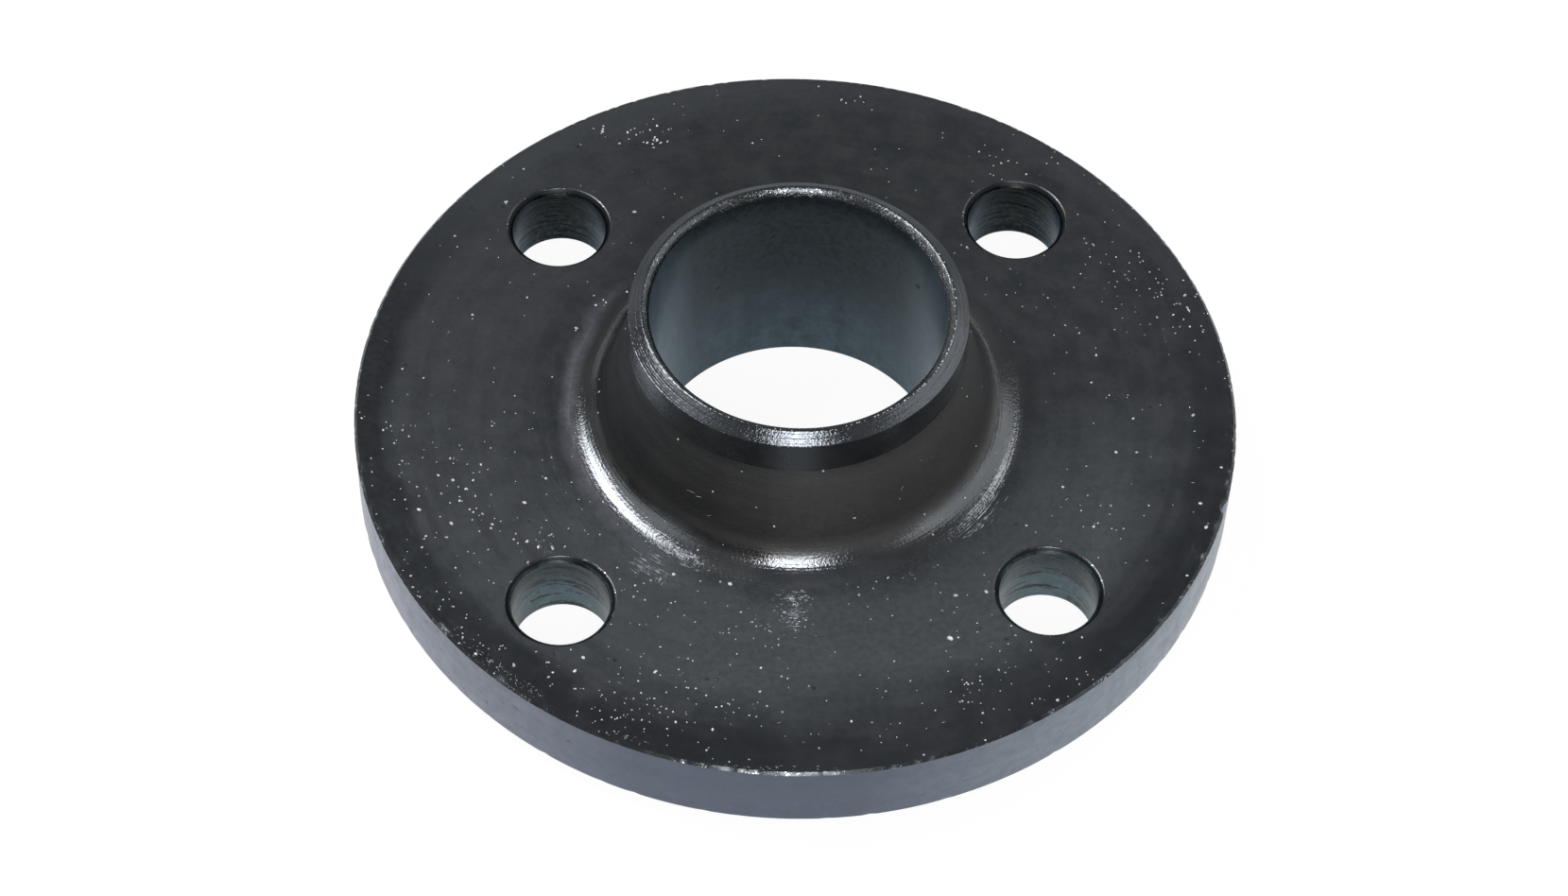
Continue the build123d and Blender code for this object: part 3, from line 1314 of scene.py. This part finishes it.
@dataclass
class ScratchesAndPaintedGlints:
    """Pale scratches on the plate, fibres on the neck and bright strokes painted as glints on the plate and the neck's
    rings, each a thin closed sliver.
    """

    sizes: FlangeSizes
    seed: int = 23
    lift: float = 0.012
    patches: tuple[ScratchAndGlintPatch, ...] = (
        # Scratches, with pale strokes painted as the glints of the turning marks, at the foot of the neck on the left
        # front.
        ScratchAndGlintPatch(-126.8, 46.3, 1.6, 1.2, 30, 3.6, 0.1, spread=3.0),
        ScratchAndGlintPatch(-128.5, 47.6, 1.2, 0.6, 10, 2.6, 0.1, spread=3.0),
        ScratchAndGlintPatch(-122.4, 47.4, 0.8, 0.7, 9, 1.6, slant=78.0, spread=12.0),
        # Painted glints: a spoke of short pale dashes in front of the neck, where the front lamp catches the turning
        # marks.
        ScratchAndGlintPatch(-92.6, 47.4, 1.4, 2.4, 130, 0.8, 0.09),
        ScratchAndGlintPatch(-92.6, 47.8, 0.9, 2.0, 60, 0.6, 0.1),
        ScratchAndGlintPatch(-92.6, 44.6, 1.6, 0.25, 18, 1.3, 0.09),
        ScratchAndGlintPatch(-136.6, 80.6, 3.4, 0.7, 46, 0.8, spread=40.0),
        ScratchAndGlintPatch(-129.5, 80.4, 2.6, 0.6, 34, 0.8, spread=40.0),
        ScratchAndGlintPatch(-112.0, 80.9, 3.0, 0.4, 16, 0.7, spread=30.0),
        ScratchAndGlintPatch(-93.0, 81.2, 9.0, 0.3, 26, 0.8, spread=15.0),
        ScratchAndGlintPatch(-62.0, 43.8, 2.5, 0.8, 16, 1.0, spread=30.0),
        # Painted glints: pale streaks at the foot of the neck on the right, where the right lamp shines.
        ScratchAndGlintPatch(-41.0, 43.7, 3.0, 0.5, 44, 2.2, 0.1, spread=3.0),
        ScratchAndGlintPatch(-145.5, 57.5, 2.0, 1.4, 14, 0.9, slant=60.0, spread=10.0),
        ScratchAndGlintPatch(-100.0, 62.0, 20.0, 9.0, 26, 0.9, spread=60.0),
        ScratchAndGlintPatch(20.0, 62.0, 22.0, 9.0, 24, 0.9, spread=60.0),
        ScratchAndGlintPatch(130.0, 62.0, 18.0, 9.0, 14, 0.9, spread=60.0),
        ScratchAndGlintPatch(-170.0, 62.0, 20.0, 9.0, 22, 0.9, spread=60.0),
    )
    # Bright strokes painted as glints, where the lamps shine on the fillet, the bevel, the crest and the inner chamfer.
    streaks: tuple[PaintedRingGlints, ...] = (
        PaintedRingGlints(Ring.FILLET, -37.5, 8.0, 0.01, 0.25, 170, 2.6, 0.11, rows=5),
        PaintedRingGlints(Ring.FILLET, -52.0, 4.0, 0.30, 0.55, 16, 0.5, 0.1),
        PaintedRingGlints(Ring.FILLET, -168.0, 5.0, 0.05, 0.40, 34, 0.5, 0.11),
        PaintedRingGlints(Ring.FILLET, -125.0, 5.0, 0.08, 0.30, 120, 0.9, 0.14),
        PaintedRingGlints(Ring.FILLET, -120.0, 4.0, 0.00, 0.22, 40, 1.6, 0.08),
        PaintedRingGlints(Ring.BEVEL, -147.0, 12.0, 0.15, 1.00, 150, 1.9, 0.06, rows=5),
        PaintedRingGlints(Ring.BEVEL, -95.0, 9.0, 0.05, 1.00, 80, 0.5, 0.11),
        PaintedRingGlints(Ring.BEVEL, -120.0, 60.0, 0.05, 1.00, 40, 0.3, 0.09),
        PaintedRingGlints(Ring.CREST, -153.0, 9.0, 0.00, 0.50, 190, 1.0, 0.2),
        PaintedRingGlints(Ring.CREST, -30.0, 22.0, 0.10, 0.60, 22, 0.3, 0.12),
        PaintedRingGlints(Ring.INNER, 22.0, 18.0, 0.05, 0.95, 120, 0.5, 0.12),
        PaintedRingGlints(Ring.INNER, 88.0, 8.0, 0.05, 0.90, 60, 0.7, 0.12),
        PaintedRingGlints(Ring.INNER, 120.0, 60.0, 0.05, 0.95, 24, 0.35, 0.09),
    )
    fibres: tuple[Fibre, ...] = (
        Fibre(-126.4, 27.7, 2.1, 10.0, 0.17),
        Fibre(-123.6, 27.5, 1.5, 18.0, 0.13),
        Fibre(-119.0, 24.6, 1.0, 35.0, 0.08),
        Fibre(-58.0, 29.0, 1.2, 50.0, 0.08),
    )

    def _add(self, bm: bmesh.types.BMesh, middle: Vector, heading: Vector, normal: Vector, length: float,
             width: float) -> None:
        """Adds one sliver that tapers to both ends.

        Args:
            bm: the shape that holds all slivers.
            middle: its middle, in millimetres.
            heading: unit vector along it.
            normal: the surface's outward direction there.
            length: its length.
            width: its width at the middle.
        """
        side = normal.cross(heading)
        ends = [bm.verts.new((middle + heading * length * k / 2) * MM) for k in (-1, 1)]
        left = bm.verts.new((middle + side * width / 2) * MM)
        right = bm.verts.new((middle - side * width / 2) * MM)
        over = bm.verts.new((middle + normal * self.lift) * MM)
        under = bm.verts.new((middle - normal * self.lift) * MM)
        ring = (ends[0], right, ends[1], left)
        for i in range(4):
            bm.faces.new((ring[i], ring[(i + 1) % 4], over))
            bm.faces.new((ring[(i + 1) % 4], ring[i], under))

    def _on_plate(self, bm: bmesh.types.BMesh, rng: random.Random, in_hole: Callable[[Vector], bool]) -> None:
        """Draws the scratches and the painted glints of each patch."""
        s = self.sizes
        up = Vector((0, 0, 1))
        for patch in self.patches:
            middle = direction(patch.azimuth)
            side = Vector((-middle.y, middle.x, 0))
            for _ in range(patch.count):
                spot = middle * (patch.radius + rng.gauss(0, patch.across)) + side * rng.gauss(0, patch.along)
                outward = spot.normalized()
                turn = math.radians(patch.slant + rng.gauss(0, patch.spread))
                around = Vector((-outward.y, outward.x, 0))
                heading = around * math.cos(turn) + outward * math.sin(turn)
                length = patch.length * rng.uniform(0.35, 1.2)
                reach = length * abs(math.sin(turn)) / 2
                inside = s.fillet_centre[0] + reach < spot.length < s.flange_radius - s.rim_break - 0.1 - reach
                if inside and not in_hole(spot):
                    spot.z = s.plate_top + self.lift * 0.4
                    self._add(bm, spot, heading, up, length, patch.width * rng.uniform(0.5, 1.3))

    def _on_neck(self, bm: bmesh.types.BMesh) -> None:
        """Lays the fibres on the cone."""
        s = self.sizes
        foot = s.fillet_point(1.0)
        for fibre in self.fibres:
            climb = (fibre.height - foot[1]) / (s.cone_top - foot[1])
            radius = foot[0] + (s.weld_end_radius - foot[0]) * climb
            outward = direction(fibre.azimuth)
            normal = direction(fibre.azimuth, math.degrees(s.cone_lean))
            level = Vector((-outward.y, outward.x, 0))
            turn = math.radians(fibre.slant)
            heading = level * math.cos(turn) + normal.cross(level) * math.sin(turn)
            spot = outward * radius + Vector((0, 0, fibre.height)) + normal * self.lift * 2
            self._add(bm, spot, heading, normal, fibre.length, fibre.width)

    def _on_rings_painted_glints(self, bm: bmesh.types.BMesh, rng: random.Random) -> None:
        """Draws the strokes painted as glints on the fillet, the bevel, the crest and the inner chamfer."""
        for streak in self.streaks:
            for _ in range(streak.count):
                azimuth = rng.gauss(streak.azimuth, streak.span / 1.6)
                across = rng.random()
                if streak.rows:
                    across = (math.floor(across * streak.rows) + 0.5 + rng.gauss(0, 0.07)) / streak.rows
                share = streak.low + (streak.high - streak.low) * across
                place, lean = self.sizes.ring_point(streak.ring, share, CHAMFER_BULGE)
                outward = direction(azimuth)
                normal = direction(azimuth, lean)
                spot = outward * place[0] + Vector((0, 0, place[1])) + normal * self.lift * 0.4
                level = Vector((-outward.y, outward.x, 0))
                length = streak.length * rng.uniform(0.3, 1.2)
                self._add(bm, spot, level, normal, length, streak.width * rng.uniform(0.5, 1.2))

    def build(self, in_hole: Callable[[Vector], bool]) -> bpy.types.Object:
        """Makes all the scratches, fibres and painted glints.

        Args:
            in_hole: tells whether a spot lies over a bolt hole.

        Returns:
            One object that holds them.
        """
        bm = bmesh.new()
        self._on_plate(bm, random.Random(self.seed), in_hole)
        self._on_neck(bm)
        self._on_rings_painted_glints(bm, random.Random(self.seed + 1))
        bmesh.ops.recalc_face_normals(bm, faces=bm.faces)
        return link_object("pale_scratches", bm)

    def dress(self, marks: bpy.types.Object, finish: PaleMarks) -> None:
        """Gives the scratches and painted glints their finish and lets them move with the body."""
        marks.data.materials.append(finish.material())
        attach(marks, BODY)


@dataclass(frozen=True)
class SoftLamp:
    """A square softbox that faces the flange. Its size is in metres."""

    name: str
    azimuth: float
    elevation: float
    distance: float
    width: float
    height: float
    watts: float
    colour: Colour = (1.0, 1.0, 1.0)


@dataclass(frozen=True)
class Studio:
    """Floor, surroundings, lamps and camera of the studio."""

    camera_azimuth: float = -93.409
    camera_elevation: float = 52.666
    camera_roll: float = 1.662
    camera_distance: float = 0.750511
    aim: tuple[float, float, float] = (-1.971, -10.71, 18.0)
    picture_width: float = 1659.0
    focal_pixels: float = 4275.743
    sensor: float = 36.0
    floor_size: float = 6.0
    floor_colour: Colour = (0.8, 0.8, 0.8)
    floor_glow: float = 0.93
    floor_catch: float = 0.11
    surround: float = 0.06
    ceiling: float = 0.18
    horizon: float = 0.10
    lamps: tuple[SoftLamp, ...] = (
        SoftLamp("front_lamp", -92.0, 47.5, 1.6, 0.45, 0.80, 12.6),
        SoftLamp("left_lamp", 148.0, 54.5, 1.6, 0.52, 0.75, 13.2),
        SoftLamp("left_wall", -176.0, 42.0, 1.6, 1.10, 0.80, 2.3),
        SoftLamp("right_lamp", 44.0, 52.0, 1.6, 0.34, 0.26, 1.2),
        SoftLamp("right_wall", 5.0, 33.0, 1.7, 2.20, 1.10, 6.8),
    )

    def place_camera(self) -> bpy.types.Object:
        """Puts the camera where the photograph was taken from.

        Returns:
            The camera object.
        """
        data = bpy.data.cameras.new("camera")
        data.sensor_fit = "HORIZONTAL"
        data.sensor_width = self.sensor
        data.lens = self.focal_pixels * self.sensor / self.picture_width
        data.clip_start = 0.01
        data.clip_end = 50.0
        turn = Matrix.Rotation(math.radians(self.camera_azimuth + 90.0), 4, "Z")
        aim = turn @ Vector(self.aim) * MM
        back = direction(self.camera_azimuth, self.camera_elevation)
        side = Vector((0, 0, 1)).cross(back).normalized()
        rise = back.cross(side)
        roll = math.radians(self.camera_roll)
        across = side * math.cos(roll) + rise * math.sin(roll)
        upward = rise * math.cos(roll) - side * math.sin(roll)
        camera = bpy.data.objects.new("camera", data)
        camera.matrix_world = Matrix.Translation(aim + back * self.camera_distance) @ Matrix(
            (across, upward, back)
        ).transposed().to_4x4()
        bpy.context.scene.collection.objects.link(camera)
        bpy.context.scene.camera = camera
        return camera

    def place_lamps(self) -> None:
        """Hangs the softboxes round the flange."""
        for lamp in self.lamps:
            data = bpy.data.lights.new(lamp.name, "AREA")
            data.shape = "RECTANGLE"
            data.size = lamp.width
            data.size_y = lamp.height
            data.energy = lamp.watts
            data.color = lamp.colour
            light = bpy.data.objects.new(lamp.name, data)
            ray = direction(lamp.azimuth, lamp.elevation)
            light.location = ray * lamp.distance
            light.rotation_euler = ray.to_track_quat("Z", "Y").to_euler()
            bpy.context.scene.collection.objects.link(light)

    @staticmethod
    def _seen_directly(wires: Wiring) -> bpy.types.NodeSocket:
        """Mask of camera, mirror and glass rays, which see the white background."""
        path = wires.node("ShaderNodeLightPath").outputs
        seen = wires.math("ADD", path["Is Camera Ray"], path["Is Glossy Ray"])
        return wires.math("ADD", seen, path["Is Transmission Ray"], clamp=True)

    def light_surroundings(self) -> None:
        """Makes the backdrop white to look at, the ceiling dimmer in reflections, and a soft light all round."""
        world = bpy.data.worlds.new("studio")
        world.use_nodes = True
        bpy.context.scene.world = world
        wires = Wiring(world.node_tree)
        glow = world.node_tree.nodes["Background"]
        glow.inputs["Color"].default_value = (1.0, 1.0, 1.0, 1.0)
        parts = wires.node("ShaderNodeSeparateXYZ")
        wires.feed(parts.inputs[0], wires.node("ShaderNodeTexCoord").outputs["Generated"])
        shown = wires.span(parts.outputs[2], 0.0, self.horizon, 1.0, self.ceiling)
        camera = wires.node("ShaderNodeLightPath").outputs["Is Camera Ray"]
        shown = wires.math("MAXIMUM", shown, camera)
        lift = wires.math("MULTIPLY", self._seen_directly(wires), wires.math("SUBTRACT", shown, self.surround))
        wires.feed(glow.inputs["Strength"], wires.math("ADD", lift, self.surround))

    def lay_floor(self) -> None:
        """Lays the pale floor that the flange stands on and that keeps its shadow."""
        bm = bmesh.new()
        bmesh.ops.create_grid(bm, x_segments=2, y_segments=2, size=self.floor_size / 2)
        floor = link_object("floor", bm)
        paint = bpy.data.materials.new("pale_floor")
        paint.use_nodes = True
        wires = Wiring(paint.node_tree)
        nodes = paint.node_tree.nodes
        nodes.remove(nodes["Principled BSDF"])
        lit = wires.node("ShaderNodeBsdfDiffuse")
        wires.feed(lit.inputs["Color"], (*self.floor_colour, 1.0))
        faint = wires.node("ShaderNodeBsdfDiffuse")
        wires.feed(faint.inputs["Color"], (self.floor_catch, self.floor_catch, self.floor_catch, 1.0))
        glow = wires.node("ShaderNodeEmission")
        wires.feed(glow.inputs["Strength"], self.floor_glow)
        white = wires.node("ShaderNodeAddShader")
        wires.feed(white.inputs[0], faint.outputs[0])
        wires.feed(white.inputs[1], glow.outputs[0])
        seen = wires.node("ShaderNodeMixShader")
        wires.feed(seen.inputs[0], self._seen_directly(wires))
        wires.feed(seen.inputs[1], lit.outputs[0])
        wires.feed(seen.inputs[2], white.outputs[0])
        below = wires.node("ShaderNodeMixShader")
        wires.feed(below.inputs[0], wires.node("ShaderNodeNewGeometry").outputs["Backfacing"])
        wires.feed(below.inputs[1], seen.outputs[0])
        wires.feed(below.inputs[2], wires.node("ShaderNodeBsdfTransparent").outputs[0])
        wires.feed(nodes["Material Output"].inputs["Surface"], below.outputs[0])
        floor.data.materials.append(paint)

    def build(self) -> None:
        """Sets up the whole studio."""
        self.lay_floor()
        self.light_surroundings()
        self.place_lamps()
        self.place_camera()
        bpy.context.scene.view_settings.view_transform = "Standard"


# Stretches of the plate, also laid on the neck: lighter and darker stretches, painted light on the left and a painted
# sheen at the foot of the neck on the left.
PLATE_TONE_AND_PAINTED_LIGHT = (
    # Lighter in front of the neck.
    ToneAndPaintedLightPatch(-82.0, 0.10, 38.0, 72.0, 9.0, (0.056, 0.062, 0.067)),
    # Lighter near the rim at the back.
    ToneAndPaintedLightPatch(85.0, 0.0, 76.0, 90.0, 4.0, (0.028, 0.030, 0.033)),
    # Lighter near the rim at the back left.
    ToneAndPaintedLightPatch(150.0, 0.3, 71.0, 90.0, 5.0, (0.034, 0.037, 0.040)),
    # Darker, glossier band near the rim at the front left.
    ToneAndPaintedLightPatch(-150.0, 0.2, 73.0, 95.0, 4.0, (0.006, 0.007, 0.008), -0.08),
    # Darker, glossier band near the rim at the right.
    ToneAndPaintedLightPatch(-28.0, 0.55, 73.0, 95.0, 4.0, (0.004, 0.005, 0.006), -0.08),
    # Painted light: the plate lighter on the left, where the left lamps shine.
    ToneAndPaintedLightPatch(-178.0, 0.3, 48.0, 76.0, 6.0, (0.030, 0.032, 0.036)),
    # Painted sheen: a pale lavender haze round the foot of the neck on the left, where the left lamp shines on the
    # fillet.
    ToneAndPaintedLightPatch(-178.0, 0.66, 40.5, 45.5, 2.5, (0.165, 0.160, 0.195)),
)

# Stretches of the cone and the top of the fillet: a lighter haze, a darker band, painted shade on the left and painted
# light on the right.
CONE_TONE_AND_PAINTED_LIGHT = (
    # Lighter haze on the upper cone at the front.
    ToneAndPaintedLightPatch(-112.0, 0.45, 20.0, 34.0, 1.6, (0.070, 0.072, 0.073)),
    # Darker where the fillet turns into the cone at the front.
    ToneAndPaintedLightPatch(-112.0, 0.70, 34.4, 38.8, 1.4, (0.014, 0.013, 0.012)),
    # Painted shade: the upper fillet on the left darkened and made metallic, dimming the light of the left lamps there.
    ToneAndPaintedLightPatch(-168.0, -0.1, 30.0, 38.3, 1.2, (0.016, 0.016, 0.016), 0.0, 0.8),
    # Painted shade: the cone darker on the left.
    ToneAndPaintedLightPatch(-168.0, 0.25, 20.0, 39.0, 3.0, (0.026, 0.025, 0.024)),
    # Painted light: the cone lighter on the right and at the front.
    ToneAndPaintedLightPatch(-45.0, 0.25, 20.0, 39.0, 3.0, (0.066, 0.062, 0.059)),
)

COATS: dict[Zone, TurnedCoat] = {
    Zone.PLATE_TOP: TurnedCoat(
        "black_plate_face", (0.014, 0.016, 0.018), (0.024, 0.025, 0.027), roughness=0.26, ior=1.85, anisotropy=0.2,
        lines_per_mm=2.0, line_breaks=14.0, line_depth=1.2, grain=0.8, grain_depth=7.0, pit_depth=20.0,
        ring=(46.0, 54.0, 9.0), patches=PLATE_TONE_AND_PAINTED_LIGHT,
    ),
    Zone.NECK: TurnedCoat(
        "black_neck", (0.008, 0.009, 0.010), (0.014, 0.015, 0.017), roughness=0.13, roughness_cloud=0.08, ior=2.1,
        tint=(0.88, 0.94, 1.0), anisotropy=0.2, lines_per_mm=1.4, line_breaks=8.0, line_depth=12.0, grain=0.6,
        grain_depth=15.0, cloud=9.0, patches=(*PLATE_TONE_AND_PAINTED_LIGHT, *CONE_TONE_AND_PAINTED_LIGHT),
        above=HighPart(19.5, 22.0, (0.046, 0.043, 0.041), roughness=0.36, metal=0.75),
        streak=(0.085, 0.083, 0.082), streak_share=0.35,
    ),
    Zone.WELD_END: TurnedCoat(
        "black_weld_end", (0.012, 0.012, 0.013), (0.020, 0.020, 0.021), roughness=0.22, ior=1.5, anisotropy=0.2,
        lines_per_mm=2.4, line_depth=8.0, grain=0.5, grain_depth=8.0,
    ),
    Zone.BEVEL: TurnedCoat(
        "bright_turned_bevel", (0.012, 0.013, 0.015), (0.020, 0.022, 0.024), roughness=0.11, ior=2.1,
        anisotropy=0.2, lines_per_mm=2.0, line_breaks=9.0, line_depth=14.0, grain=0.45, grain_depth=18.0,
        # Painted shade: the far side of the bevel darker, rougher and partly metallic, which dims its grazing
        # reflection of the white floor.
        patches=(ToneAndPaintedLightPatch(90.0, -0.2, 20.0, 40.0, 3.0, (0.010, 0.010, 0.011), 0.34, 0.6),),
    ),
    Zone.INNER_CHAMFER: TurnedCoat(
        "bright_inner_chamfer", (0.014, 0.015, 0.016), (0.024, 0.025, 0.027), roughness=0.10, ior=2.0,
        anisotropy=0.2, lines_per_mm=2.6, line_breaks=14.0, line_depth=18.0, grain=0.42, grain_depth=24.0,
        # The patch is a painted highlight: a pale stretch on the right of the inner chamfer, where it catches the
        # lamps.
        flecks=0.34, fleck=0.4, patches=(ToneAndPaintedLightPatch(3.0, 0.72, 20.0, 40.0, 3.0, (0.12, 0.123, 0.126)),),
    ),
    Zone.BORE: TurnedCoat(
        "black_bore", (0.046, 0.070, 0.088), (0.085, 0.125, 0.150), roughness=0.34, ior=1.31, tint=(0.7, 0.88, 1.0),
        metal=0.35, anisotropy=0.2,
        # Painted reflections: pale stretches on the left and the right of the bore.
        patches=(
            ToneAndPaintedLightPatch(-176.0, 0.62, 20.0, 40.0, 3.0, (0.190, 0.265, 0.315)),
            ToneAndPaintedLightPatch(-4.0, 0.70, 20.0, 40.0, 3.0, (0.160, 0.215, 0.255)),
        ),
        lines_per_mm=0.06, line_breaks=44.0, line_depth=2.5, grain=0.9, grain_depth=8.0, cloud=4.0, pit_depth=70.0,
        # Painted reflection and shade: the bore is lighter teal at the bottom, where it mirrors the white floor, and
        # darkens towards the top.
        above=HighPart(2.0, 30.0, (0.008, 0.010, 0.011)), streak=(0.014, 0.018, 0.021), streak_share=0.45,
    ),
    Zone.RIM: TurnedCoat(
        "black_rim", (0.000, 0.001, 0.012), (0.026, 0.030, 0.070), roughness=0.30, roughness_cloud=0.10, ior=2.05,
        tint=(0.62, 0.78, 1.0), anisotropy=0.2, lines_per_mm=1.2, line_breaks=8.0, line_depth=2.5,
        grain=0.6, grain_depth=7.0, cloud=3.5, blotch=2.0, blotch_share=0.8, pit_depth=60.0,
        # Painted reflections: pale stretches of the rim on the left and on the right, where it mirrors the lamps and
        # the white floor.
        patches=(
            ToneAndPaintedLightPatch(-172.0, 0.50, 70.0, 95.0, 3.0, (0.190, 0.193, 0.245)),
            ToneAndPaintedLightPatch(-24.0, 0.50, 70.0, 95.0, 3.0, (0.200, 0.238, 0.268)),
        ),
        # Painted shade: the rim darker towards the bottom, where it mirrors the shadowed floor beside it, and lighter
        # towards the top.
        above=HighPart(5.0, 17.0, (0.009, 0.013, 0.028), 0.05),
    ),
    Zone.EDGE_BREAK: TurnedCoat(
        "worn_edges", (0.008, 0.009, 0.010), (0.014, 0.014, 0.016), roughness=0.26, ior=1.8, anisotropy=0.0,
        lines_per_mm=4.0, line_depth=1.0, grain_depth=6.0, flecks=0.28, fleck=0.5,
    ),
    Zone.HOLE_MOUTH: TurnedCoat(
        "black_hole_mouth", (0.003, 0.003, 0.004), (0.006, 0.006, 0.007), roughness=0.42, ior=1.35,
        anisotropy=0.0, lines_per_mm=4.0, line_depth=1.0, grain_depth=5.0,
    ),
    Zone.HOLE_WALL: TurnedCoat(
        "black_hole_wall", (0.085, 0.155, 0.180), (0.165, 0.260, 0.290), roughness=0.3, ior=1.36,
        patches=(
            ToneAndPaintedLightPatch(90.0, 0.0, 40.0, 95.0, 5.0, (0.005, 0.006, 0.007), 0.0, 0.8),
            ToneAndPaintedLightPatch(90.0, 0.0, 40.0, 95.0, 5.0, (0.011, 0.011, 0.010), 0.0, 0.95),
        ),
        anisotropy=0.0, lines_per_mm=1.0, line_depth=2.0, grain=0.8, grain_depth=10.0,
        cloud=3.0, pit_depth=60.0, drilled=DrillMarks(1.0, 34.0, 1.0),
        above=HighPart(7.5, 16.5, (0.012, 0.017, 0.020)),
    ),
    Zone.SEALING_FACE: TurnedCoat(
        "black_sealing_face", (0.011, 0.012, 0.014), (0.017, 0.018, 0.020), roughness=0.36, anisotropy=0.3,
        lines_per_mm=1.4, line_breaks=2.0, line_depth=12.0, grain_depth=4.0,
    ),
}

DUST = PaleMarks("pale_dust", (0.88, 0.89, 0.91), (0.50, 0.51, 0.53))
# Pale finish of the scratches, the fibres and the strokes painted as glints.
SCRATCHES_AND_GLINTS = PaleMarks("pale_scratches", (0.62, 0.65, 0.72), (0.15, 0.16, 0.18), roughness=0.6)


def main() -> None:
    """Builds the flange's looks and the studio round it."""
    logging.basicConfig(level=logging.INFO)
    sizes = FlangeSizes.from_frame(frame["record"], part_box(CAD_NODE))
    effects = SurfaceEffects()
    flange = FlangeBody(sizes)
    body = flange.build()
    flange.dress(body, COATS, effects)
    log.info("%s has %d faces", body.name, len(body.data.polygons))
    dust = DustCover(sizes)
    specks = dust.build()
    dust.dress(specks, DUST)
    log.info("%s has %d faces", specks.name, len(specks.data.polygons))
    scratches = ScratchesAndPaintedGlints(sizes)
    marks = scratches.build(dust.in_hole)
    scratches.dress(marks, SCRATCHES_AND_GLINTS)
    log.info("%s has %d faces", marks.name, len(marks.data.polygons))
    Studio().build()


if __name__ == "__main__":
    main()
